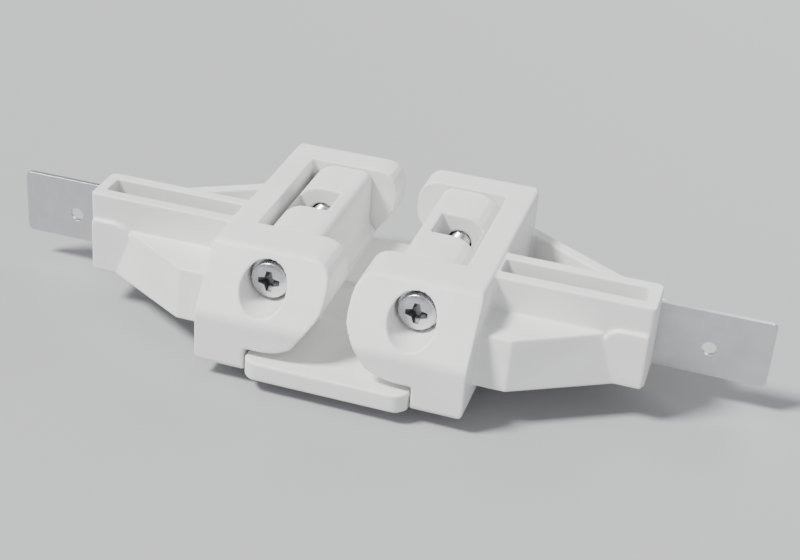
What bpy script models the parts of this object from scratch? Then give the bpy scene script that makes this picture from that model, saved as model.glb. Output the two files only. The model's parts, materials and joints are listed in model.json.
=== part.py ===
"""Sliding door roller: a carriage with two wheels, a housing with a wing and a metal strip on
each side, and a screw on each side that drives a wedge nut and so sets its wheel's height.

Lengths are in millimetres on a datum: X runs along the strips and is zero on the plane of
symmetry, Y is zero on the strips' front face and grows to the back, Z is zero on their lower
edge. Each piece is made for the right side, at +X, and mirrored for the left one.
"""

import math

import bmesh
import bpy
from mathutils import Matrix, Vector

MM = 0.001
GAP = 0.3
REACH = 2.0  # how far a cutter runs past the surface that it opens

# Strips
STRIP_INNER, STRIP_OUTER = 28.0, 72.4
STRIP_HEIGHT, STRIP_THICK = 12.7, 0.9
STRIP_CORNER = 1.1
STRIP_HOLE = (61.65, 5.4)
STRIP_HOLE_R = 1.35
RIVET_XS = (33.0, 47.0)
RIVET_Z = 6.35
RIVET_R = 1.35

# Housing: the C-shaped frame round a block
HOUSING_SIDE = 24.7
HOUSING_TOP = 18.1
HOUSING_BACK = 25.1
HOUSING_FRONT = -27.6
HOUSING_FLOOR = 1.3
WINDOW_SIDE = 19.4
WINDOW_FRONT, WINDOW_BACK = -10.9, 18.5
SLOPE_TOP_Y, SLOPE_LOW_Z = -19.0, 7.2
FOOT_INNER, FOOT_Z, FOOT_BACK = 15.4, -2.7, -17.0
LEG_INNER, LEG_TURN_Z, BACK_LEG_LOW = 2.2, 10.3, 8.3
BACK_CORNER = 2.6
LEG_CORNER, LEG_SWEEP, LEG_SWEEP_TOP = 4.0, 10.4, 14.0

# Housing: the wing
WING_END = 52.5
WING_FRONT, WING_BACK = -11.5, -2.1
WING_LOW, WING_TOP = 1.6, 17.45
TROUGH = ((25.0, -9.0, 4.0), (50.3, -4.4, WING_TOP + REACH))
SEAT_TOP = 12.9
GUSSET_TOP = 11.0
GUSSET_LOW_PLAN = ((24.0, -11.0), (24.0, -22.3), (30.5, -22.3), (48.4, -11.6), (48.4, -11.0))
GUSSET_TOP_PLAN = ((24.0, -11.0), (24.0, -20.6), (30.4, -20.6), (44.2, -12.0), (44.2, -11.0))
PAD_INNER, PAD_PROUD, PAD_TOP = 44.5, 0.7, 12.2
FLARE_TOP, FLARE_SLOPE, FLARE_THICK, FLARE_END = 9.1, 0.62, 2.5, 58.5
WING_ROOT = HOUSING_SIDE - 0.7
FLOOR_THICK = 1.4

# Screw, on an axis along Y
SCREW_X, SCREW_Z = 13.5, 12.3
SCREW_R, HEAD_R = 2.0, 3.4
HEAD_FRONT, HEAD_BACK = -20.8, -19.1
SEAT_Y = -18.0
BORE_R, COUNTERBORE_R = 2.35, 4.2
WASHER_R, WASHER_THICK = 3.9, 0.5
RECESS_Y = -13.5
CLIP_Y, CLIP_THICK = -13.2, 0.7
CLIP_R, GROOVE_R = 3.3, 1.5
SCREW_TIP = 16.8

# Carriage
BLOCK_INNER, BLOCK_OUTER = 7.1, 19.1
BLOCK_TOP = 17.8
BLOCK_FRONT, BLOCK_BACK = -10.6, 18.2
CARRIAGE_LOW = -2.9
FLOOR_TOP, FLOOR_FRONT, STEP_Z = 4.9, -0.6, 3.2
PLATE_HALF, PLATE_TOP, PLATE_FRONT, PLATE_CORNER = 15.1, 0.62, -29.4, 2.8
RAMP_FOOT = -9.4
POCKET = ((9.9, -0.5, 9.8), (18.0, 7.4, BLOCK_TOP + REACH))
FILLET_REACH, FILLET_TOP = 4.8, 7.0

# Wedge nut and the chamber that it slides in
CHAMBER = ((9.3, 9.6, CARRIAGE_LOW - REACH), (16.6, 17.2, 15.6))
NUT_FRONT, NUT_LENGTH = 13.7, 3.0
NUT_TOP = 15.3
RAMP_START = (9.9, 9.9)
RAMP_SLOPE = -0.5

# Wheel, its bearing and its carrier
AXLE_X, AXLE_Z = 12.9, 0.5
WHEEL_R, TYRE_INNER_R = 6.0, 4.4
WHEEL_FRONT, WHEEL_BACK = 0.3, 7.3
AXLE_R = 1.25
WELL = ((9.3, -3.1, CARRIAGE_LOW - REACH), (16.5, 9.8, 8.4))
WHEEL_ROOM_R = 6.6
WHEEL_ROOM_Y = (-0.1, 7.7)
CARRIER_HALF, CARRIER_TOP, CARRIER_ROOF = 3.0, 8.0, 7.0
CHEEK_FRONT, CHEEK_BACK, CHEEK_THICK = -1.8, 8.2, 1.2
TAIL_BACK, TAIL_LOW = 16.9, 3.5
BALLS = 7

# The origin is at the middle of the bottom of the whole object's box
DATUM = Vector((0.0, -(PLATE_FRONT + HOUSING_BACK) / 2, WHEEL_R - AXLE_Z))

FINE_STEPS, COARSE_STEPS = 28, 16
FINE_FROM_R = 3.0
ARC_STEPS = 5


def start_collection(name):
    collection = bpy.data.collections.new(name)
    bpy.context.scene.collection.children.link(collection)
    return collection


def material(name, colour, roughness, metallic=0.0):
    made = bpy.data.materials.new(name)
    made.use_nodes = True
    shader = made.node_tree.nodes["Principled BSDF"]
    shader.inputs["Base Color"].default_value = (*colour, 1.0)
    shader.inputs["Roughness"].default_value = roughness
    shader.inputs["Metallic"].default_value = metallic
    return made


def rounded(corners):
    """An outline from (u, v) or (u, v, radius) corners, each radius drawn as an arc."""
    points = []
    for i, corner in enumerate(corners):
        here = Vector(corner[:2])
        if len(corner) == 2:
            points.append(here)
            continue
        back = (Vector(corners[i - 1][:2]) - here).normalized()
        ahead = (Vector(corners[(i + 1) % len(corners)][:2]) - here).normalized()
        half = back.angle(ahead) / 2
        middle = here + (back + ahead).normalized() * corner[2] / math.sin(half)
        start = here + back * corner[2] / math.tan(half) - middle
        end = here + ahead * corner[2] / math.tan(half) - middle
        turn = start.angle_signed(end)
        steps = max(ARC_STEPS, round(corner[2] * 1.2))
        for step in range(steps + 1):
            share = -turn * step / steps
            points.append(middle + Matrix.Rotation(share, 2) @ start)
    return points


def keep(name, mesh):
    """Links a working shape, which is a cutter or the source of a part."""
    made = bpy.data.objects.new("shape_" + name, mesh)
    TOOLS.objects.link(made)
    made.hide_render = True
    made.display_type = "WIRE"
    return made


def turn_steps(radius):
    return FINE_STEPS if radius > FINE_FROM_R else COARSE_STEPS


def prism(name, outline, low, high, axis):
    """A flat outline, in (X, Y), (X, Z) or (Y, Z), extruded along the third axis."""
    curve = bpy.data.curves.new(name, "CURVE")
    curve.dimensions = "2D"
    curve.fill_mode = "BOTH"
    curve.extrude = 1.0
    spline = curve.splines.new("POLY")
    spline.points.add(len(outline) - 1)
    for point, (u, v) in zip(spline.points, outline):
        point.co = (u, v, 0.0, 1.0)
    spline.use_cyclic_u = True
    places = {"X": (2, 0, 1), "Y": (0, 2, 1), "Z": (0, 1, 2)}[axis]
    drawn = keep(name, curve)
    graph = bpy.context.evaluated_depsgraph_get()
    mesh = bpy.data.meshes.new_from_object(drawn.evaluated_get(graph))
    bpy.data.objects.remove(drawn)
    shape = bmesh.new()
    shape.from_mesh(mesh)
    bmesh.ops.remove_doubles(shape, verts=shape.verts, dist=0.001)
    for corner in shape.verts:
        local = (corner.co.x, corner.co.y, high if corner.co.z > 0 else low)
        corner.co = [local[place] for place in places]
    bmesh.ops.recalc_face_normals(shape, faces=shape.faces)
    shape.to_mesh(mesh)
    shape.free()
    return keep(name, mesh)


def box(name, low, high):
    shape = bmesh.new()
    bmesh.ops.create_cube(shape, size=1.0)
    for corner in shape.verts:
        corner.co = [high[i] if corner.co[i] > 0 else low[i] for i in range(3)]
    mesh = bpy.data.meshes.new(name)
    shape.to_mesh(mesh)
    shape.free()
    return keep(name, mesh)


def rod(name, x, z, radius, front, back):
    """A round bar or bore along Y."""
    shape = bmesh.new()
    bmesh.ops.create_cone(
        shape, cap_ends=True, segments=turn_steps(radius), radius1=radius, radius2=radius,
        depth=back - front,
    )
    mesh = bpy.data.meshes.new(name)
    shape.to_mesh(mesh)
    shape.free()
    turn = Matrix.Rotation(math.radians(90), 4, "X")
    mesh.transform(Matrix.Translation((x, (front + back) / 2, z)) @ turn)
    return keep(name, mesh)


def turned(name, profile, x, z, closed):
    """A profile of (radius, Y) points turned about an axis along Y, outer side from back to front."""
    shape = bmesh.new()
    corners = [shape.verts.new((radius, 0.0, y)) for radius, y in profile]
    ends = corners[1:] + corners[:1] if closed else corners[1:]
    for start, end in zip(corners, ends):
        shape.edges.new((start, end))
    mesh = bpy.data.meshes.new(name)
    shape.to_mesh(mesh)
    shape.free()
    made = keep(name, mesh)
    screw = made.modifiers.new("Turn", "SCREW")
    screw.steps = screw.render_steps = turn_steps(max(radius for radius, _ in profile))
    screw.use_merge_vertices = True
    screw.merge_threshold = 0.0001
    settle(made)
    made.data.transform(Matrix.Translation((x, 0.0, z)) @ Matrix.Rotation(math.radians(-90), 4, "X"))
    return made


def ring(name, x, z, inner, outer, front, back, edge=0.0):
    """A turned ring, with a chamfer on its outer edges."""
    profile = [(inner, back), (outer - edge, back)]
    if edge:
        profile += [(outer, back - edge), (outer, front + edge)]
    else:
        profile += [(outer, front)]
    profile += [(outer - edge, front)] if edge else []
    profile += [(inner, front)]
    return turned(name, profile, x, z, closed=True)


def loft(name, low_outline, high_outline, low, high):
    """A solid between two unlike outlines at two heights."""
    shape = bmesh.new()
    bottom = [shape.verts.new((x, y, low)) for x, y in low_outline]
    top = [shape.verts.new((x, y, high)) for x, y in high_outline]
    shape.faces.new(bottom)
    shape.faces.new(top)
    count = len(bottom)
    for i in range(count):
        after = (i + 1) % count
        shape.faces.new((bottom[i], bottom[after], top[after], top[i]))
    bmesh.ops.recalc_face_normals(shape, faces=shape.faces)
    mesh = bpy.data.meshes.new(name)
    shape.to_mesh(mesh)
    shape.free()
    return keep(name, mesh)


def combine(target, others, operation):
    for other in others:
        joint = target.modifiers.new(other.name, "BOOLEAN")
        joint.operation = operation
        joint.object = other
        joint.solver = "EXACT"
    settle(target)
    return target


def join(target, *others):
    return combine(target, others, "UNION")


def cut(target, *others):
    return combine(target, others, "DIFFERENCE")


def common(target, *others):
    return combine(target, others, "INTERSECT")


def settle(target):
    """Turns an object's modifiers into its mesh."""
    graph = bpy.context.evaluated_depsgraph_get()
    mesh = bpy.data.meshes.new_from_object(target.evaluated_get(graph))
    target.modifiers.clear()
    target.data = mesh


def finished(target, name, paint, parent, side):
    """Copies a shape as a part of the roller, in metres, mirrored for the left side."""
    mesh = target.data.copy()
    mesh.transform(Matrix.Diagonal((side, 1.0, 1.0, 1.0)))
    if side < 0:
        mesh.flip_normals()
    mesh.transform(Matrix.Scale(MM, 4) @ Matrix.Translation(DATUM))
    mesh.transform(parent.matrix_world.inverted())
    mesh.materials.clear()
    mesh.materials.append(paint)
    mesh.shade_smooth()
    mesh.set_sharp_from_angle(angle=math.radians(35))
    made = bpy.data.objects.new(name, mesh)
    PARTS.objects.link(made)
    made.parent = parent
    return made


def pivot(name, x, y, z):
    """An empty on the axis of a body's joint."""
    empty = bpy.data.objects.new(name, None)
    PARTS.objects.link(empty)
    empty.location = (Vector((x, y, z)) + DATUM) * MM
    empty.empty_display_size = 0.005
    bpy.context.view_layer.update()
    return empty


def make_frame():
    """The C-shaped frame: two legs and an outer wall round the window."""
    outline = rounded((
        (LEG_INNER, HOUSING_TOP, LEG_CORNER), (LEG_INNER, LEG_TURN_Z, LEG_CORNER),
        (BACK_LEG_LOW, HOUSING_FLOOR, 1.0), (BACK_LEG_LOW, FOOT_Z), (HOUSING_SIDE, FOOT_Z, 1.5),
        (HOUSING_SIDE, HOUSING_TOP, 1.2),
    ))
    side = rounded((
        (HOUSING_FRONT, FOOT_Z, 1.0), (HOUSING_FRONT, SLOPE_LOW_Z, 3.0),
        (SLOPE_TOP_Y, HOUSING_TOP, 2.0), (HOUSING_BACK, HOUSING_TOP, 1.0),
        (HOUSING_BACK, HOUSING_FLOOR), (FOOT_BACK, HOUSING_FLOOR), (FOOT_BACK, FOOT_Z, 1.0),
    ))
    frame = prism("frame", outline, HOUSING_FRONT - 1, HOUSING_BACK + 1, "Y")
    common(frame, prism("frame_side", side, 0.0, HOUSING_SIDE + 1, "X"))
    plan = [(round(u, 4), round(v, 4)) for u, v in rounded((
        (0.0, HOUSING_FRONT - REACH), (HOUSING_SIDE, HOUSING_FRONT - REACH),
        (HOUSING_SIDE, HOUSING_BACK, BACK_CORNER), (0.0, HOUSING_BACK),
    ))]
    common(frame, prism("frame_plan", plan, FOOT_Z - REACH, HOUSING_TOP + REACH, "Z"))
    sweep = rounded((
        (0.0, LEG_SWEEP_TOP), (LEG_INNER - 0.1, LEG_SWEEP_TOP), (LEG_INNER - 0.1, 1.9, LEG_SWEEP),
        (FOOT_INNER, 1.9), (FOOT_INNER, FOOT_Z - REACH), (0.0, FOOT_Z - REACH),
    ))
    window = (0.0, WINDOW_FRONT, FOOT_Z - REACH), (WINDOW_SIDE, WINDOW_BACK, HOUSING_TOP + REACH)
    return cut(
        frame,
        box("window", *window),
        prism("sweep", sweep, HOUSING_FRONT - REACH, WINDOW_FRONT + REACH, "Y"),
    )


def flare_y(x):
    """The flared wall's outer face."""
    return HOUSING_BACK - FLARE_SLOPE * (x - HOUSING_SIDE)


def make_flare():
    across = FLARE_THICK * math.hypot(1.0, FLARE_SLOPE)
    root = HOUSING_SIDE - BACK_CORNER - 1.0
    behind = STRIP_THICK + GAP
    outline = rounded((
        (root, HOUSING_BACK), (HOUSING_SIDE, HOUSING_BACK), (FLARE_END, flare_y(FLARE_END), 1.0),
        (FLARE_END, behind), (FLARE_END - 0.5, behind),
        (HOUSING_SIDE, HOUSING_BACK - across), (root, HOUSING_BACK - across),
    ))
    return prism("flare", outline, WING_LOW, FLARE_TOP, "Z")


def make_wing_floor():
    root = WING_ROOT
    front = STRIP_THICK + 1.5 * GAP
    outline = ((root, front), (root, HOUSING_BACK - 1), (HOUSING_SIDE, HOUSING_BACK - 1),
               (FLARE_END - 2, flare_y(FLARE_END - 2) - 1), (FLARE_END - 2, front))
    return prism("wing_floor", outline, WING_LOW, WING_LOW + FLOOR_THICK, "Z")


def make_wing_box():
    root = WING_ROOT
    outline = rounded((
        (root, WING_FRONT), (WING_END, WING_FRONT, 0.8), (WING_END, WING_BACK, 1.2), (root, WING_BACK),
    ))
    wing = prism("wing_box", outline, WING_LOW, WING_TOP, "Z")
    seat = box("seat", (root, WING_BACK - 1.5, WING_LOW), (WING_END - 0.2, -GAP, SEAT_TOP))
    gusset = loft("gusset", GUSSET_LOW_PLAN, GUSSET_TOP_PLAN, WING_LOW, GUSSET_TOP)
    pad_outline = rounded((
        (PAD_INNER, WING_LOW), (WING_END - 0.3, WING_LOW, 0.6), (WING_END - 0.3, PAD_TOP, 0.6),
        (PAD_INNER, PAD_TOP, 3.0),
    ))
    pad = prism("pad", pad_outline, WING_FRONT - PAD_PROUD, WING_FRONT + 1, "Y")
    return join(wing, seat, gusset, pad)


def make_housing():
    housing = join(make_frame(), make_wing_box(), make_flare(), make_wing_floor())
    rivets = [rod("rivet_bore", x, RIVET_Z, RIVET_R + 0.35, TROUGH[1][1] - 1, 0.5) for x in RIVET_XS]
    return cut(
        housing,
        box("trough", *TROUGH),
        rod("counterbore", SCREW_X, SCREW_Z, COUNTERBORE_R, HOUSING_FRONT - REACH, SEAT_Y),
        rod("leg_bore", SCREW_X, SCREW_Z, BORE_R, SEAT_Y - 1, WINDOW_FRONT + REACH),
        rod("clip_recess", SCREW_X, SCREW_Z, CLIP_R + 2 * GAP, RECESS_Y, WINDOW_FRONT + REACH),
        *rivets,
    )


def make_strip():
    outline = rounded((
        (STRIP_INNER, 0.0), (STRIP_OUTER, 0.0, STRIP_CORNER),
        (STRIP_OUTER, STRIP_HEIGHT, STRIP_CORNER), (STRIP_INNER, STRIP_HEIGHT),
    ))
    strip = prism("strip", outline, 0.0, STRIP_THICK, "Y")
    holes = [rod("strip_hole", *STRIP_HOLE, STRIP_HOLE_R, -REACH, REACH)]
    holes += [rod("strip_rivet_hole", x, RIVET_Z, RIVET_R + 0.35, -REACH, REACH) for x in RIVET_XS]
    return cut(strip, *holes)


def make_rivet(x):
    behind = STRIP_THICK + GAP
    inside = TROUGH[1][1] - GAP
    profile = (
        (0.0, behind + 1.0), (1.6, behind + 0.9), (2.6, behind + 0.3), (2.6, behind),
        (RIVET_R, behind), (RIVET_R, inside), (2.1, inside), (2.1, inside - 0.6),
        (1.5, inside - 0.8), (0.0, inside - 0.8),
    )
    return turned("rivet", profile, x, RIVET_Z, closed=False)


def make_screw():
    groove_front, groove_back = CLIP_Y - GAP, CLIP_Y + CLIP_THICK + GAP
    profile = (
        (0.0, SCREW_TIP), (SCREW_R - 0.6, SCREW_TIP), (SCREW_R, SCREW_TIP - 0.6),
        (SCREW_R, groove_back), (GROOVE_R, groove_back), (GROOVE_R, groove_front),
        (SCREW_R, groove_front), (SCREW_R, HEAD_BACK), (HEAD_R, HEAD_BACK),
        (HEAD_R, HEAD_BACK - 0.7), (HEAD_R - 0.5, HEAD_FRONT + 0.4), (HEAD_R - 1.4, HEAD_FRONT + 0.1),
        (0.0, HEAD_FRONT),
    )
    screw = turned("screw", profile, SCREW_X, SCREW_Z, closed=False)
    half_long, half_wide, depth = 1.9, 0.45, 1.1
    crosses = []
    for across, up in ((half_long, half_wide), (half_wide, half_long)):
        low = (SCREW_X - across, HEAD_FRONT - 1, SCREW_Z - up)
        high = (SCREW_X + across, HEAD_FRONT + depth, SCREW_Z + up)
        crosses.append(box("cross_arm", low, high))
    return cut(screw, *crosses)


def both_sides(tool):
    """A cutter and its mirror image."""
    mesh = tool.data.copy()
    mesh.transform(Matrix.Diagonal((-1.0, 1.0, 1.0, 1.0)))
    mesh.flip_normals()
    return tool, keep(tool.name, mesh)


def make_carriage():
    half = rounded((
        (FILLET_REACH, FLOOR_TOP, 1.5), (BLOCK_INNER, FILLET_TOP, 1.5), (BLOCK_INNER, BLOCK_TOP, 2.2),
        (BLOCK_OUTER, BLOCK_TOP, 5.2), (BLOCK_OUTER, CARRIAGE_LOW),
    ))
    section = [Vector((-point.x, point.y)) for point in reversed(half)] + half
    carriage = prism("carriage", section, BLOCK_FRONT, BLOCK_BACK, "Y")
    lowered = rounded((
        (BLOCK_FRONT - REACH, PLATE_TOP), (RAMP_FOOT, PLATE_TOP), (FLOOR_FRONT, STEP_Z, 0.5),
        (FLOOR_FRONT, FILLET_TOP + 0.5), (BLOCK_FRONT - REACH, FILLET_TOP + 0.5),
    ))
    side = BLOCK_INNER + 0.2
    slot = ((AXLE_X - WHEEL_ROOM_R, WHEEL_ROOM_Y[0], CARRIAGE_LOW - REACH),
            (AXLE_X + WHEEL_ROOM_R, WHEEL_ROOM_Y[1], AXLE_Z))
    cut(carriage, prism("lowered", lowered, -side, side, "X"))
    plate = rounded((
        (-PLATE_HALF, PLATE_FRONT, PLATE_CORNER), (PLATE_HALF, PLATE_FRONT, PLATE_CORNER),
        (PLATE_HALF, BLOCK_FRONT + 0.1), (-PLATE_HALF, BLOCK_FRONT + 0.1),
    ))
    join(carriage, prism("plate", plate, CARRIAGE_LOW, PLATE_TOP, "Z"))
    return cut(
        carriage,
        *both_sides(rod("block_bore", SCREW_X, SCREW_Z, BORE_R, BLOCK_FRONT - REACH, CHAMBER[1][1] - 1)),
        *both_sides(box("pocket", *POCKET)),
        *both_sides(box("well", *WELL)),
        *both_sides(rod("wheel_room", AXLE_X, AXLE_Z, WHEEL_ROOM_R, *WHEEL_ROOM_Y)),
        *both_sides(box("wheel_slot", *slot)),
        *both_sides(box("chamber", *CHAMBER)),
    )


def ramp_z(y):
    return RAMP_START[1] + RAMP_SLOPE * (y - RAMP_START[0])


def make_wedge_nut():
    back = NUT_FRONT + NUT_LENGTH
    outline = ((NUT_FRONT, ramp_z(NUT_FRONT) + GAP), (back, ramp_z(back) + GAP),
               (back, NUT_TOP), (NUT_FRONT, NUT_TOP))
    nut = prism("wedge_nut", outline, CHAMBER[0][0] + GAP, CHAMBER[1][0] - GAP, "X")
    return cut(nut, rod("thread", SCREW_X, SCREW_Z, BORE_R, NUT_FRONT - REACH, back + REACH))


def make_carrier():
    left, right = AXLE_X - CARRIER_HALF, AXLE_X + CARRIER_HALF
    cheek = rounded((
        (left, AXLE_Z - CARRIER_HALF, 2.9), (right, AXLE_Z - CARRIER_HALF, 2.9),
        (right, CARRIER_TOP), (left, CARRIER_TOP),
    ))
    front = prism("front_cheek", cheek, CHEEK_FRONT, CHEEK_FRONT + CHEEK_THICK, "Y")
    back = prism("back_cheek", cheek, CHEEK_BACK, CHEEK_BACK + CHEEK_THICK, "Y")
    roof = box("roof", (left, CHEEK_FRONT, CARRIER_ROOF), (right, CHEEK_BACK + CHEEK_THICK, CARRIER_TOP))
    tail_front = CHEEK_BACK + 0.3
    tail_outline = (
        (tail_front, TAIL_LOW), (TAIL_BACK, TAIL_LOW), (TAIL_BACK, ramp_z(TAIL_BACK)),
        RAMP_START, (RAMP_START[0], CARRIER_ROOF + 0.5), (tail_front, CARRIER_ROOF + 0.5),
    )
    tail = prism("tail", tail_outline, left + 0.1, right - 0.1, "X")
    carrier = join(front, back, roof, tail)
    return cut(carrier, rod("axle_bore", AXLE_X, AXLE_Z, AXLE_R + GAP, -REACH - 2, CHEEK_BACK + REACH))


def make_axle():
    clip_front = CHEEK_BACK + CHEEK_THICK + GAP
    head_back = CHEEK_FRONT - GAP
    profile = (
        (0.0, clip_front + 1.5), (AXLE_R, clip_front + 1.5), (AXLE_R, clip_front + 0.9),
        (0.8, clip_front + 0.9), (0.8, clip_front), (AXLE_R, clip_front), (AXLE_R, head_back),
        (2.2, head_back), (2.2, head_back - 0.6), (0.0, head_back - 0.6),
    )
    return turned("axle", profile, AXLE_X, AXLE_Z, closed=False)


def make_axle_clip():
    front = CHEEK_BACK + CHEEK_THICK + GAP + 0.2
    clip = ring("axle_clip", AXLE_X, AXLE_Z, 1.1, 2.3, front, front + 0.5)
    mouth = box("mouth", (AXLE_X - 0.6, front - 1, AXLE_Z), (AXLE_X + 0.6, front + 1.5, AXLE_Z + 4))
    return cut(clip, mouth)


def make_screw_clip():
    clip = ring("screw_clip", SCREW_X, SCREW_Z, GROOVE_R + GAP, CLIP_R, CLIP_Y, CLIP_Y + CLIP_THICK)
    low = (SCREW_X - 1.1, CLIP_Y - 1, SCREW_Z - 5)
    return cut(clip, box("mouth", low, (SCREW_X + 1.1, CLIP_Y + 2, SCREW_Z)))


def make_cage():
    """The bearing's cage with its balls, as one body."""
    pitch_r, ball_r = 2.85, 0.42
    middle = (WHEEL_FRONT + WHEEL_BACK) / 2
    cage = ring("cage", AXLE_X, AXLE_Z, pitch_r - 0.2, pitch_r + 0.2, middle - 0.9, middle + 0.9)
    balls = []
    for i in range(BALLS):
        angle = math.tau * i / BALLS
        shape = bmesh.new()
        bmesh.ops.create_uvsphere(shape, u_segments=8, v_segments=5, radius=ball_r)
        centre = (AXLE_X + pitch_r * math.cos(angle), middle, AXLE_Z + pitch_r * math.sin(angle))
        bmesh.ops.translate(shape, vec=centre, verts=shape.verts)
        mesh = bpy.data.meshes.new("ball")
        shape.to_mesh(mesh)
        shape.free()
        balls.append(keep("ball", mesh))
    return join(cage, *balls)


for old in list(bpy.data.objects):
    bpy.data.objects.remove(old)

PARTS = start_collection("sliding_door_roller")
TOOLS = start_collection("cutters")

white = material("white_nylon", (0.82, 0.82, 0.80), 0.45)
dark_white = material("acetal", (0.74, 0.74, 0.72), 0.35)
steel = material("strip_steel", (0.62, 0.62, 0.62), 0.32, 1.0)
zinc = material("zinc", (0.68, 0.68, 0.66), 0.3, 1.0)

carriage_body = pivot("carriage_frame", 0.0, 0.0, 0.0)
finished(make_carriage(), "carriage", white, carriage_body, 1)

fixed = [
    ("housing", make_housing(), white),
    ("strip", make_strip(), steel),
    ("strip_rivet_inner", make_rivet(RIVET_XS[0]), zinc),
    ("strip_rivet_outer", make_rivet(RIVET_XS[1]), zinc),
    ("screw_washer", ring("screw_washer", SCREW_X, SCREW_Z, BORE_R, WASHER_R,
                          SEAT_Y - GAP - WASHER_THICK, SEAT_Y - GAP), zinc),
]
on_screw = [("screw", make_screw(), zinc), ("screw_clip", make_screw_clip(), zinc)]
on_nut = [("wedge_nut", make_wedge_nut(), zinc)]
bearing_front, bearing_back = WHEEL_FRONT + 2.0, WHEEL_BACK - 2.0
on_carrier = [
    ("wheel_carrier", make_carrier(), dark_white),
    ("axle", make_axle(), steel),
    ("axle_clip", make_axle_clip(), zinc),
    ("bearing_inner", ring("bearing_inner", AXLE_X, AXLE_Z, AXLE_R + GAP, 2.1,
                           bearing_front, bearing_back), steel),
]
on_wheel = [
    ("wheel_tyre", ring("tyre", AXLE_X, AXLE_Z, TYRE_INNER_R, WHEEL_R,
                        WHEEL_FRONT, WHEEL_BACK, edge=0.6), dark_white),
    ("bearing_outer", ring("bearing_outer", AXLE_X, AXLE_Z, 3.6, 4.1,
                           bearing_front, bearing_back), steel),
    ("bearing_cage", make_cage(), zinc),
]

for side, word in ((1, "right"), (-1, "left")):
    screw_axis = pivot(f"{word}_screw_axis", side * SCREW_X, HEAD_FRONT, SCREW_Z)
    nut_axis = pivot(f"{word}_nut_axis", side * SCREW_X, NUT_FRONT, SCREW_Z)
    carrier_axis = pivot(f"{word}_carrier_axis", side * AXLE_X, 0.0, AXLE_Z)
    wheel_axis = pivot(f"{word}_wheel_axis", side * AXLE_X, (WHEEL_FRONT + WHEEL_BACK) / 2, AXLE_Z)
    groups = (
        (carriage_body, fixed), (screw_axis, on_screw), (nut_axis, on_nut),
        (carrier_axis, on_carrier), (wheel_axis, on_wheel),
    )
    for parent, pieces in groups:
        for piece, shape, paint in pieces:
            finished(shape, f"{word}_{piece}", paint, parent, side)
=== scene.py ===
"""Sliding door roller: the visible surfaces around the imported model.

Everything is in metres, in the part's own frame: +X runs along the strips, +Y from the screw
heads to the back, +Z up, with the wheels resting on Z = 0.
"""

import json
import math

import bmesh
import bpy
from mathutils import Matrix, Vector


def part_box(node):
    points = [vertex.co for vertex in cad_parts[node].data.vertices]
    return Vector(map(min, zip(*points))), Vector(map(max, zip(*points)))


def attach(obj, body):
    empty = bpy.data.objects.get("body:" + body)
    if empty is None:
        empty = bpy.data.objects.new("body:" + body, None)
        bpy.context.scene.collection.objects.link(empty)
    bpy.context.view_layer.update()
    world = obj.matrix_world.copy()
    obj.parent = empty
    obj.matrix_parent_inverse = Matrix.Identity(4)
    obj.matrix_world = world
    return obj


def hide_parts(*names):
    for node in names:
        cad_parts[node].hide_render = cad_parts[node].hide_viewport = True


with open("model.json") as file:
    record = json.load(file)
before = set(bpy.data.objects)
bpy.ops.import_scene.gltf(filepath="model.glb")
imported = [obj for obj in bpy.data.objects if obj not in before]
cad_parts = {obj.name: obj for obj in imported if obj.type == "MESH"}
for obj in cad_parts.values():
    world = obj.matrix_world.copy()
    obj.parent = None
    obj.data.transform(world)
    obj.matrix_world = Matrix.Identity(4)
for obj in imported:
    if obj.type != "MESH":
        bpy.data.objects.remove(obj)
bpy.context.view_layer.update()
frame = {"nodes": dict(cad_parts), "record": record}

MM = 0.001
SIDES = ("left", "right")

body_of = {node: body for body, nodes in frame["record"]["behaviour"]["bodies"].items() for node in nodes}
slot_of = {row["node"]: row["material_slot"] for row in frame["record"]["subparts"]}


def middle(node):
    low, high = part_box(node)
    return (Vector(low) + Vector(high)) / 2


def span(node, axis):
    low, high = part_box(node)
    return low[axis], high[axis]


# ---------------------------------------------------------------- camera, lights and floor

CAMERA_PLACE = Vector((68.18, -240.83, 153.81)) * MM
CAMERA_RIGHT = Vector((0.9440, 0.3262, 0.0494)).normalized()
CAMERA_AHEAD = Vector((-0.2608, 0.8295, -0.4938)).normalized()
LENS, SENSOR = 70.09, 36.0
SHIFT = (0.0835, -0.0036)


def make_camera():
    data = bpy.data.cameras.new("view")
    data.lens, data.sensor_width = LENS, SENSOR
    data.shift_x, data.shift_y = SHIFT
    data.clip_start, data.clip_end = 0.01, 20.0
    camera = bpy.data.objects.new("view", data)
    bpy.context.scene.collection.objects.link(camera)
    back = -CAMERA_AHEAD
    up = back.cross(CAMERA_RIGHT).normalized()
    right = up.cross(back)
    turn = Matrix((right, up, back)).transposed().to_4x4()
    camera.matrix_world = Matrix.Translation(CAMERA_PLACE) @ turn
    bpy.context.scene.camera = camera


SKY_COLOUR, SKY_STRENGTH = (0.93, 0.95, 1.0, 1.0), 0.42
SUN_AHEAD = Vector((0.62, 0.42, -1.0))
SUN_COLOUR, SUN_ENERGY, SUN_ANGLE = (1.0, 0.99, 0.975), 6.0, math.radians(14)
FLOOR_HALF = 15.0
FLOOR_COLOUR, FLOOR_ROUGHNESS = (0.42, 0.425, 0.435), 0.8
# Each lamp's name, place, size, power and colour.
LAMPS = (
    ("fill", (0.45, -0.45, 0.20), 0.45, 0.8, (0.94, 0.97, 1.0)),
    ("rim", (0.20, 0.55, 0.40), 0.30, 1.6, (1.0, 1.0, 1.0)),
)


def make_lamp(name, place, size, power, colour):
    """A square lamp that faces the origin."""
    data = bpy.data.lights.new(name, "AREA")
    data.shape = "SQUARE"
    data.size, data.energy, data.color = size, power, colour
    light = bpy.data.objects.new(name, data)
    bpy.context.scene.collection.objects.link(light)
    light.location = place
    light.rotation_euler = (-Vector(place)).to_track_quat("-Z", "Y").to_euler()


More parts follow.
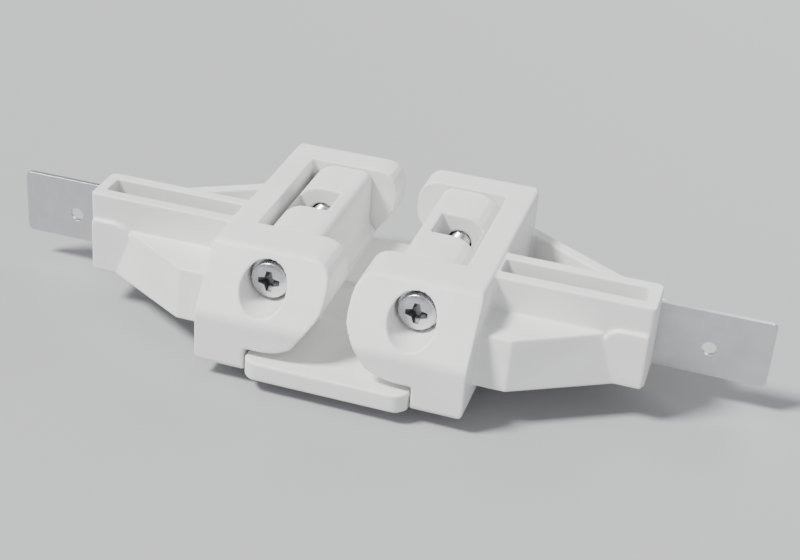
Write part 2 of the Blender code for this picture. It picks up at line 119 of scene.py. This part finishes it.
def make_studio():
    world = bpy.data.worlds.new("studio")
    world.use_nodes = True
    world.node_tree.nodes["Background"].inputs["Color"].default_value = SKY_COLOUR
    world.node_tree.nodes["Background"].inputs["Strength"].default_value = SKY_STRENGTH
    bpy.context.scene.world = world
    sun = bpy.data.lights.new("key", "SUN")
    sun.energy, sun.angle, sun.color = SUN_ENERGY, SUN_ANGLE, SUN_COLOUR
    key = bpy.data.objects.new("key", sun)
    bpy.context.scene.collection.objects.link(key)
    key.rotation_euler = SUN_AHEAD.to_track_quat("-Z", "Y").to_euler()
    for lamp in LAMPS:
        make_lamp(*lamp)
    mesh = bpy.data.meshes.new("floor")
    shape = bmesh.new()
    bmesh.ops.create_grid(shape, x_segments=1, y_segments=1, size=FLOOR_HALF)
    shape.to_mesh(mesh)
    shape.free()
    floor = bpy.data.objects.new("floor", mesh)
    bpy.context.scene.collection.objects.link(floor)
    paint, _, _ = new_material("pale_floor", FLOOR_COLOUR, FLOOR_ROUGHNESS)
    mesh.materials.append(paint)


# ---------------------------------------------------------------- materials

def new_material(name, colour, roughness, metallic=0.0):
    paint = bpy.data.materials.new(name)
    paint.use_nodes = True
    shader = paint.node_tree.nodes["Principled BSDF"]
    shader.inputs["Base Color"].default_value = (*colour, 1.0)
    shader.inputs["Roughness"].default_value = roughness
    shader.inputs["Metallic"].default_value = metallic
    return paint, shader, paint.node_tree


def noise(tree, scale, detail=4.0, stretch=(1.0, 1.0, 1.0)):
    """Noise in object space, with a scale in cycles a metre."""
    place = tree.nodes.new("ShaderNodeTexCoord")
    mapping = tree.nodes.new("ShaderNodeMapping")
    mapping.inputs["Scale"].default_value = stretch
    texture = tree.nodes.new("ShaderNodeTexNoise")
    texture.inputs["Scale"].default_value = scale
    texture.inputs["Detail"].default_value = detail
    tree.links.new(place.outputs["Object"], mapping.inputs["Vector"])
    tree.links.new(mapping.outputs["Vector"], texture.inputs["Vector"])
    return texture.outputs["Fac"]


# Most of a noise texture's values lie between these two.
NOISE_SPAN = (0.32, 0.68)


def ramp(tree, value, start, end):
    """Turns noise into a colour, or a number, between two others."""
    stops = tree.nodes.new("ShaderNodeValToRGB")
    for stop, place, colour in zip(stops.color_ramp.elements, NOISE_SPAN, (start, end)):
        stop.position = place
        stop.color = (*colour, 1.0) if isinstance(colour, tuple) else (colour, colour, colour, 1.0)
    tree.links.new(value, stops.inputs["Fac"])
    return stops.outputs["Color"]


def bump(tree, shader, heights):
    """Stacks (value, depth in metres, strength) layers of relief."""
    below = None
    for value, depth, strength in heights:
        layer = tree.nodes.new("ShaderNodeBump")
        layer.inputs["Distance"].default_value = depth
        layer.inputs["Strength"].default_value = strength
        tree.links.new(value, layer.inputs["Height"])
        if below:
            tree.links.new(below, layer.inputs["Normal"])
        below = layer.outputs["Normal"]
    tree.links.new(below, shader.inputs["Normal"])


def nylon(name, dark, light, rough_low, rough_high):
    """Moulded plastic with a fine spark-eroded grain and faint flow marks."""
    paint, shader, tree = new_material(name, light, rough_high)
    flow = noise(tree, scale=70.0, detail=5.0, stretch=(1.0, 1.0, 2.5))
    grain = noise(tree, scale=5200.0, detail=2.0)
    sink = noise(tree, scale=160.0, detail=2.0)
    patches = noise(tree, scale=420.0, detail=6.0)
    tree.links.new(ramp(tree, flow, dark, light), shader.inputs["Base Color"])
    tree.links.new(ramp(tree, patches, rough_low, rough_high), shader.inputs["Roughness"])
    shader.inputs["Subsurface Weight"].default_value = 0.06
    shader.inputs["Subsurface Radius"].default_value = (0.0012, 0.0011, 0.0010)
    shader.inputs["IOR"].default_value = 1.53
    bump(tree, shader, ((sink, 0.00012, 0.25), (grain, 0.00002, 0.45)))
    return paint


def metal(name, dark, light, rough_low, rough_high, stretch, scale, depth):
    """Metal with a directional or mottled finish."""
    paint, shader, tree = new_material(name, light, rough_high, 1.0)
    lines = noise(tree, scale, detail=5.0, stretch=stretch)
    cloud = noise(tree, scale=240.0, detail=4.0)
    tree.links.new(ramp(tree, cloud, dark, light), shader.inputs["Base Color"])
    tree.links.new(ramp(tree, lines, rough_low, rough_high), shader.inputs["Roughness"])
    bump(tree, shader, ((lines, depth, 0.35),))
    return paint


PAINTS = {
    "white_nylon": nylon("moulded_nylon", (0.80, 0.80, 0.785), (0.86, 0.86, 0.845), 0.36, 0.50),
    "acetal": nylon("acetal", (0.74, 0.74, 0.72), (0.80, 0.80, 0.78), 0.24, 0.34),
    "strip_steel": metal("satin_strip", (0.60, 0.61, 0.62), (0.66, 0.67, 0.68), 0.34, 0.48,
                         stretch=(0.03, 1.0, 1.0), scale=2600.0, depth=0.000006),
    "zinc": metal("zinc_plate", (0.60, 0.61, 0.62), (0.74, 0.75, 0.76), 0.22, 0.38,
                  stretch=(1.0, 1.0, 1.0), scale=1500.0, depth=0.000008),
    "spring_steel": metal("ground_steel", (0.66, 0.67, 0.68), (0.74, 0.75, 0.76), 0.30, 0.42,
                          stretch=(1.0, 0.15, 1.0), scale=2400.0, depth=0.000006),
    # The recess paint is painted shade: near-black zinc that stands in for the dark inside the deep
    # Phillips recess, not a different metal.
    "recess": metal("recess_painted_shade", (0.16, 0.16, 0.165), (0.24, 0.24, 0.245), 0.42, 0.60,
                    stretch=(1.0, 1.0, 1.0), scale=1500.0, depth=0.000008),
}


# ---------------------------------------------------------------- shapes

def link(name, mesh, paint, body, replaced):
    piece = bpy.data.objects.new(name, mesh)
    bpy.context.scene.collection.objects.link(piece)
    mesh.materials.clear()
    mesh.materials.append(PAINTS[paint])
    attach(piece, body)
    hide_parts(*replaced)
    return piece


def settle(piece):
    """Turns a piece's modifiers into its mesh."""
    graph = bpy.context.evaluated_depsgraph_get()
    mesh = bpy.data.meshes.new_from_object(piece.evaluated_get(graph))
    piece.modifiers.clear()
    piece.data = mesh


def smoothed(mesh, angle):
    """Shades a mesh smooth between its sharp edges, with its flat faces kept flat."""
    mesh.shade_smooth()
    mesh.set_sharp_from_angle(angle=math.radians(angle))
    work = loose("work", mesh)
    even = work.modifiers.new("Even", "WEIGHTED_NORMAL")
    even.keep_sharp, even.weight = True, 100
    settle(work)
    mesh = work.data
    bpy.data.objects.remove(work)
    return mesh


def loose(name, mesh):
    piece = bpy.data.objects.new(name, mesh)
    bpy.context.scene.collection.objects.link(piece)
    return piece


def mesh_of(shape, name):
    mesh = bpy.data.meshes.new(name)
    shape.to_mesh(mesh)
    shape.free()
    return mesh


MERGE_REACH = 0.000001


def cleaned(node):
    """A CAD node's mesh with the corners that share a place merged."""
    shape = bmesh.new()
    shape.from_mesh(frame["nodes"][node].data)
    bmesh.ops.remove_doubles(shape, verts=shape.verts, dist=MERGE_REACH)
    return mesh_of(shape, node + "_copy")


# The remesh's grid, how far and how often it is relaxed, and the share of faces that is kept.
VOXEL = 0.00022
RELAX_FACTOR, RELAX_STEPS = 0.5, 6
KEEP_SHARE = 0.24


def softened(node, piece_name, paint):
    """A moulding with the soft edges of a real one: its CAD shape remeshed and relaxed."""
    work = loose("work", cleaned(node))
    remesh = work.modifiers.new("Remesh", "REMESH")
    remesh.mode = "VOXEL"
    remesh.voxel_size = VOXEL
    relax = work.modifiers.new("Relax", "SMOOTH")
    relax.factor, relax.iterations = RELAX_FACTOR, RELAX_STEPS
    thin = work.modifiers.new("Thin", "DECIMATE")
    thin.ratio = KEEP_SHARE
    settle(work)
    mesh = work.data
    mesh.shade_smooth()
    bpy.data.objects.remove(work)
    return link(piece_name, mesh, paint, body_of[node], (node,))


# A radius below this is a point on the axis.
ON_AXIS = 1e-7


def lathe(profile, steps, centre, loop):
    """A profile of (radius, y) turned about an axis along Y through centre."""
    shape = bmesh.new()
    rings = []
    for radius, y in profile:
        if radius < ON_AXIS:
            rings.append([shape.verts.new((0.0, y, 0.0))])
            continue
        rings.append([
            shape.verts.new((radius * math.cos(a), y, radius * math.sin(a)))
            for a in (math.tau * i / steps for i in range(steps))
        ])
    pairs = list(zip(rings, rings[1:]))
    if loop:
        pairs.append((rings[-1], rings[0]))
    for first, second in pairs:
        for i in range(steps):
            after = (i + 1) % steps
            corners = [first[i % len(first)], first[after % len(first)],
                       second[after % len(second)], second[i % len(second)]]
            face = list(dict.fromkeys(corners))
            if len(face) > 2:
                shape.faces.new(face)
    bmesh.ops.recalc_face_normals(shape, faces=shape.faces)
    bmesh.ops.translate(shape, vec=(centre.x, 0.0, centre.z), verts=shape.verts)
    return shape


CORNER_STEPS = 4


def rounded_ring(inner, outer, front, back, edge):
    """A ring's profile with rounded edges."""
    points = []
    corners = ((outer, back, 1, 1), (outer, front, 1, -1), (inner, front, -1, -1), (inner, back, -1, 1))
    for radius, y, out, away in corners:
        arc = []
        for i in range(CORNER_STEPS + 1):
            a = math.pi / 2 * i / CORNER_STEPS
            arc.append((radius - out * edge * (1 - math.cos(a)), y - away * edge * (1 - math.sin(a))))
        points += arc if out * away < 0 else arc[::-1]
    return points


def dome_profile(radius, height, steps=8):
    """A dome's profile from its middle out, as (radius, drop)."""
    turns = (math.pi / 2 * i / steps for i in range(steps + 1))
    return [(radius * math.sin(a), height * (1 - math.cos(a))) for a in turns]


# ---------------------------------------------------------------- screws

PITCH = 0.7 * MM
THREAD_DEPTH = 0.38 * MM
SHANK_R = 2.0 * MM
GROOVE_R = 1.5 * MM
HEAD_R, HEAD_BACK = 3.4 * MM, 1.7 * MM
HEAD_RISE, HEAD_CHAMFER = 0.62 * MM, 0.15 * MM
TIP_LENGTH, TIP_TAPER = 0.9 * MM, 0.5 * MM
# How far the shank starts inside the head, and the room beside the clip in its groove.
SHANK_OVERLAP, GROOVE_ROOM = 0.1 * MM, 0.2 * MM
AROUND, ROWS_A_TURN, HEAD_STEPS = 48, 7, 12
# The share of a turn that a thread's ridge takes is two over this.
THREAD_SLOPE = 2.3
SCREW_SHARP_ANGLE = 38
# The Phillips recess at three depths: the depth, the wings' length and half-width, and the root.
RECESS_LEVELS = ((-0.4, 2.15, 0.50, 0.86), (0.6, 1.85, 0.45, 0.74), (1.5, 1.1, 0.34, 0.46))


def thread_shape(centre, start, end, groove):
    """A shank with a helical thread, plain in the clip's groove and tapered at its tip."""
    shape = bmesh.new()
    rows = round((end - start) / (PITCH / ROWS_A_TURN))
    rings = []
    for row in range(rows + 1):
        y = start + (end - start) * row / rows
        tip = min(1.0, (end - y) / TIP_LENGTH)
        ring = []
        for i in range(AROUND):
            wave = (y / PITCH - i / AROUND) % 1.0
            height = 1.0 - min(1.0, abs(wave - 0.5) * THREAD_SLOPE)
            radius = SHANK_R - THREAD_DEPTH * (1.0 - height)
            if groove[0] < y < groove[1]:
                radius = GROOVE_R
            radius -= (1.0 - tip) * TIP_TAPER
            angle = math.tau * i / AROUND
            ring.append(shape.verts.new((radius * math.cos(angle), y, radius * math.sin(angle))))
        rings.append(ring)
    for first, second in zip(rings, rings[1:]):
        for i in range(AROUND):
            after = (i + 1) % AROUND
            shape.faces.new((first[i], second[i], second[after], first[after]))
    shape.faces.new(rings[0])
    shape.faces.new(rings[-1])
    bmesh.ops.recalc_face_normals(shape, faces=shape.faces)
    bmesh.ops.translate(shape, vec=(centre.x, 0.0, centre.z), verts=shape.verts)
    return shape


def cross_outline(long, wide, web):
    """A Phillips cross: four tapered wings with a filled root between each two."""
    points = []
    for quarter in range(4):
        turn = Matrix.Rotation(quarter * math.pi / 2, 2)
        points += [turn @ Vector((long, -wide)), turn @ Vector((long, wide)), turn @ Vector((web, web))]
    return points


def phillips(centre, face):
    """The solid that is cut out of a head whose front is at face."""
    shape = bmesh.new()
    rings = []
    for depth, long, wide, web in RECESS_LEVELS:
        rings.append([
            shape.verts.new((centre.x + p.x, face + depth * MM, centre.z + p.y))
            for p in cross_outline(long * MM, wide * MM, web * MM)
        ])
    for first, second in zip(rings, rings[1:]):
        for i in range(len(first)):
            after = (i + 1) % len(first)
            shape.faces.new((first[i], first[after], second[after], second[i]))
    shape.faces.new(rings[0])
    shape.faces.new(rings[-1])
    bmesh.ops.recalc_face_normals(shape, faces=shape.faces)
    made = loose("recess", mesh_of(shape, "recess"))
    # The cutter carries the recess's painted shade, which the cut hands on to the head's recess faces.
    made.data.materials.append(PAINTS["recess"])
    return made


def make_screw(side):
    node = f"{side}_screw"
    front, tip = span(node, 1)
    centre = middle(node)
    clip = span(f"{side}_screw_clip", 1)
    profile = [(r, front + drop) for r, drop in dome_profile(HEAD_R, HEAD_RISE, HEAD_STEPS)]
    profile += [(HEAD_R, front + HEAD_BACK - HEAD_CHAMFER), (HEAD_R - HEAD_CHAMFER, front + HEAD_BACK),
                (0.0, front + HEAD_BACK)]
    head = loose("head", mesh_of(lathe(profile, AROUND, centre, loop=False), "head"))
    head.data.materials.append(PAINTS["zinc"])
    recess = phillips(centre, front)
    cut = head.modifiers.new("Recess", "BOOLEAN")
    cut.operation, cut.object, cut.solver = "DIFFERENCE", recess, "EXACT"
    # TRANSFER gives the recess faces the cutter's painted-shade paint.
    cut.material_mode = "TRANSFER"
    settle(head)
    groove = (clip[0] - GROOVE_ROOM, clip[1] + GROOVE_ROOM)
    shank = mesh_of(thread_shape(centre, front + HEAD_BACK - SHANK_OVERLAP, tip, groove), "shank")
    both = bmesh.new()
    both.from_mesh(head.data)
    both.from_mesh(shank)
    mesh = smoothed(mesh_of(both, node + "_detail"), SCREW_SHARP_ANGLE)
    bpy.data.objects.remove(head)
    bpy.data.objects.remove(recess)
    paints = [face.material_index for face in mesh.polygons]
    link(f"{side}_screw_detail", mesh, "zinc", body_of[node], (node,))
    # The second slot is the painted shade of the recess faces.
    mesh.materials.append(PAINTS["recess"])
    mesh.polygons.foreach_set("material_index", paints)


# ---------------------------------------------------------------- strips

STRIP_EDGE, STRIP_EDGE_STEPS = 0.12 * MM, 3
FLAT_ANGLE, STRIP_SHARP_ANGLE = 2, 50


def make_strip(side):
    node = f"{side}_strip"
    work = loose("work", cleaned(node))
    shape = bmesh.new()
    shape.from_mesh(work.data)
    bmesh.ops.dissolve_limit(shape, angle_limit=math.radians(FLAT_ANGLE),
                             verts=shape.verts, edges=shape.edges)
    shape.to_mesh(work.data)
    shape.free()
    edge = work.modifiers.new("Edge", "BEVEL")
    edge.width, edge.segments = STRIP_EDGE, STRIP_EDGE_STEPS
    edge.limit_method, edge.angle_limit = "ANGLE", math.radians(STRIP_SHARP_ANGLE)
    settle(work)
    mesh = smoothed(work.data, STRIP_SHARP_ANGLE)
    bpy.data.objects.remove(work)
    link(f"{side}_strip_detail", mesh, "strip_steel", body_of[node], (node,))


# ---------------------------------------------------------------- turned pieces

RING_STEPS, CAGE_STEPS, PIN_STEPS = 72, 56, 40
TURNED_SHARP_ANGLE = 40
# Each ring's node, piece and paint, then its inner radius, outer radius and edge in mm.
RINGS = (
    ("wheel_tyre", "tyre_detail", "acetal", 4.4, 6.0, 0.55),
    ("bearing_outer", "outer_race", "spring_steel", 3.6, 4.1, 0.12),
    ("bearing_inner", "inner_race", "spring_steel", 1.55, 2.1, 0.12),
    ("screw_washer", "washer_detail", "zinc", 2.35, 3.9, 0.1),
)


def finish_turned(node, piece, paint, shape):
    mesh = smoothed(mesh_of(shape, piece), TURNED_SHARP_ANGLE)
    link(piece, mesh, paint, body_of[node], (node,))


def make_ring(node, piece, paint, inner, outer, edge):
    front, back = span(node, 1)
    profile = rounded_ring(inner, outer, front, back, edge)
    finish_turned(node, piece, paint, lathe(profile, RING_STEPS, middle(node), loop=True))


AXLE_R, AXLE_TIP_R, AXLE_CHAMFER = 1.25 * MM, 1.0 * MM, 0.25 * MM
AXLE_HEAD_R, AXLE_HEAD_BACK, AXLE_FACE_R = 2.2 * MM, 0.6 * MM, 1.6 * MM
AXLE_EDGE_REACH, AXLE_EDGE_DROP = 0.6 * MM, 0.3 * MM
# Where the clip's groove starts and ends, measured from the tip.
AXLE_GROOVE_R, AXLE_GROOVE_START, AXLE_GROOVE_END = 0.8 * MM, 1.5 * MM, 0.6 * MM


def make_axle(side):
    """A flat-faced head with a rounded edge, and a shank with the clip's groove near its tip."""
    node = f"{side}_axle"
    front, back = span(node, 1)
    edge = dome_profile(AXLE_EDGE_REACH, AXLE_EDGE_DROP)
    profile = [(0.0, front)] + [(AXLE_FACE_R + r, front + drop) for r, drop in edge]
    profile += [
        (AXLE_HEAD_R, front + AXLE_HEAD_BACK), (AXLE_R, front + AXLE_HEAD_BACK),
        (AXLE_R, back - AXLE_GROOVE_START), (AXLE_GROOVE_R, back - AXLE_GROOVE_START),
        (AXLE_GROOVE_R, back - AXLE_GROOVE_END), (AXLE_R, back - AXLE_GROOVE_END),
        (AXLE_R, back - AXLE_CHAMFER), (AXLE_TIP_R, back), (0.0, back),
    ]
    shape = lathe(profile, PIN_STEPS, middle(node), loop=False)
    finish_turned(node, f"{side}_axle_detail", "spring_steel", shape)


RIVET_HEAD_R, RIVET_HEAD_RISE, RIVET_HEAD_FRONT = 2.6 * MM, 0.98 * MM, 1.0 * MM
RIVET_R = 1.35 * MM
# The end of the shank and its rolled tail, as (radius, distance from the front) in mm.
RIVET_TAIL = (
    (1.35, 0.8), (1.9, 0.8), (2.1, 0.55), (2.0, 0.2),
    (1.6, 0.0), (1.15, 0.1), (0.85, 0.4), (0.0, 0.5),
)


def make_rivet(side, which):
    """A domed rivet with a rolled tail."""
    node = f"{side}_strip_rivet_{which}"
    front, back = span(node, 1)
    profile = [(r, back - drop) for r, drop in dome_profile(RIVET_HEAD_R, RIVET_HEAD_RISE)]
    profile += [(RIVET_HEAD_R, back - RIVET_HEAD_FRONT), (RIVET_R, back - RIVET_HEAD_FRONT)]
    profile += [(r * MM, front + y * MM) for r, y in RIVET_TAIL]
    shape = lathe(profile, PIN_STEPS, middle(node), loop=False)
    finish_turned(node, f"{side}_{which}_rivet_detail", "zinc", shape)


BALLS = 7
BALL_R, BALL_CIRCLE_R = 0.42 * MM, 2.85 * MM
BALL_AROUND, BALL_ROWS = 20, 12
CAGE_HALF_WIDE, CAGE_THICK, CAGE_EDGE = 0.2 * MM, 0.25 * MM, 0.06 * MM
# The spokes end short of the cage's two faces, by this much in all.
SPOKE_R, SPOKE_SHORT, SPOKE_STEPS = 0.17 * MM, 0.1 * MM, 12


def make_cage(side):
    """Polished balls between two thin rings, with a spoke between each two balls."""
    node = f"{side}_bearing_cage"
    centre = middle(node)
    front, back = span(node, 1)
    shape = bmesh.new()
    for i in range(BALLS):
        turn = math.tau * i / BALLS
        place = centre + Vector((math.cos(turn), 0.0, math.sin(turn))) * BALL_CIRCLE_R
        bmesh.ops.create_uvsphere(shape, u_segments=BALL_AROUND, v_segments=BALL_ROWS, radius=BALL_R,
                                  matrix=Matrix.Translation(place))
    inner, outer = BALL_CIRCLE_R - CAGE_HALF_WIDE, BALL_CIRCLE_R + CAGE_HALF_WIDE
    for low, high in ((front, front + CAGE_THICK), (back - CAGE_THICK, back)):
        profile = rounded_ring(inner, outer, low, high, CAGE_EDGE)
        shape.from_mesh(mesh_of(lathe(profile, CAGE_STEPS, centre, loop=True), "cage_ring"))
    for i in range(BALLS):
        turn = math.tau * (i + 0.5) / BALLS
        place = centre + Vector((math.cos(turn), 0.0, math.sin(turn))) * BALL_CIRCLE_R
        spoke = bmesh.ops.create_cone(shape, cap_ends=True, segments=SPOKE_STEPS, radius1=SPOKE_R,
                                      radius2=SPOKE_R, depth=back - front - SPOKE_SHORT)
        turned = Matrix.Translation(place) @ Matrix.Rotation(math.pi / 2, 4, "X")
        bmesh.ops.transform(shape, matrix=turned, verts=spoke["verts"])
    finish_turned(node, f"{side}_cage_detail", "spring_steel", shape)


def make_turned_pieces(side):
    for node, piece, paint, inner, outer, edge in RINGS:
        make_ring(f"{side}_{node}", f"{side}_{piece}", paint, inner * MM, outer * MM, edge * MM)
    make_axle(side)
    make_cage(side)
    for which in ("inner", "outer"):
        make_rivet(side, which)


# ---------------------------------------------------------------- assembly

make_camera()
make_studio()

softened("carriage", "carriage_moulding", "white_nylon")
for side in SIDES:
    softened(f"{side}_housing", f"{side}_housing_moulding", "white_nylon")
    softened(f"{side}_wheel_carrier", f"{side}_carrier_moulding", "acetal")
    make_screw(side)
    make_strip(side)
    make_turned_pieces(side)

# The nodes that no piece replaces show as they are, in their slot's paint.
for node, piece in frame["nodes"].items():
    if not piece.hide_render:
        piece.data.materials.clear()
        piece.data.materials.append(PAINTS[slot_of[node]])
